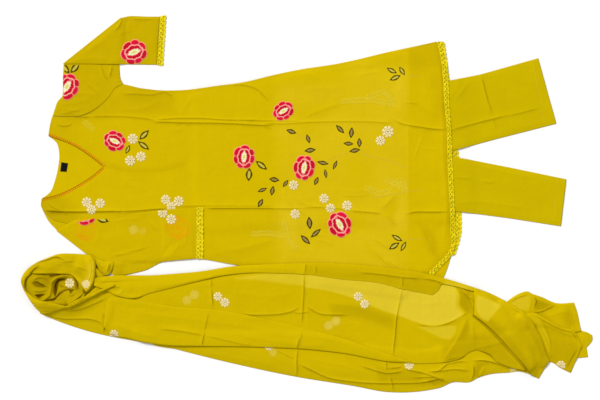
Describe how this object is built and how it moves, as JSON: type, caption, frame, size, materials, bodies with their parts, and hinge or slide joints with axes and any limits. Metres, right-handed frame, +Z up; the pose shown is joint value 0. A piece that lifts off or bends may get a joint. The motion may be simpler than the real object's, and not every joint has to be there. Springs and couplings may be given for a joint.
{
  "type": "salwar kameez suit",
  "caption": "Embroidered kameez with a V neck, folded sleeves and lace edges, straight trousers and a long sheer dupatta, all laid flat.",
  "frame": {"origin": "middle of the laid-out set on the surface it lies on", "axes": "+X along the kameez from neck to hem, +Y from the dupatta's side to the left sleeve, +Z up from the surface"},
  "size_m": [1.54, 1.016, 0.0362],
  "materials": {
    "kameez_cloth": "smooth mustard-lime cotton lawn, matte",
    "trouser_cloth": "plain mustard-lime cambric, matte",
    "dupatta_cloth": "thin sheer mustard-lime voile with a faint sheen",
    "lace": "lemon cotton lace with small holes",
    "label": "black woven label, bare"
  },
  "bodies": {
    "root": {"kameez_front": "kameez_cloth", "kameez_back": "kameez_cloth", "sleeve_left": "kameez_cloth", "sleeve_right": "kameez_cloth", "hem_lace_front": "lace", "hem_lace_back": "lace", "sleeve_lace_left": "lace", "sleeve_lace_right": "lace", "neck_label": "label", "trouser_leg_left": "trouser_cloth", "trouser_leg_right": "trouser_cloth", "trouser_waistband": "trouser_cloth", "dupatta_inner_layers": "dupatta_cloth", "dupatta_bottom_run": "dupatta_cloth", "dupatta_middle_run": "dupatta_cloth", "dupatta_over_run": "dupatta_cloth", "dupatta_top_run": "dupatta_cloth", "dupatta_knot_folds": "dupatta_cloth", "dupatta_knot_band": "dupatta_cloth", "dupatta_knot_tab": "dupatta_cloth", "dupatta_twist": "dupatta_cloth", "dupatta_tail_upper": "dupatta_cloth", "dupatta_tail_lower": "dupatta_cloth", "dupatta_tail_tip": "dupatta_cloth"}
  },
  "joints": []
}
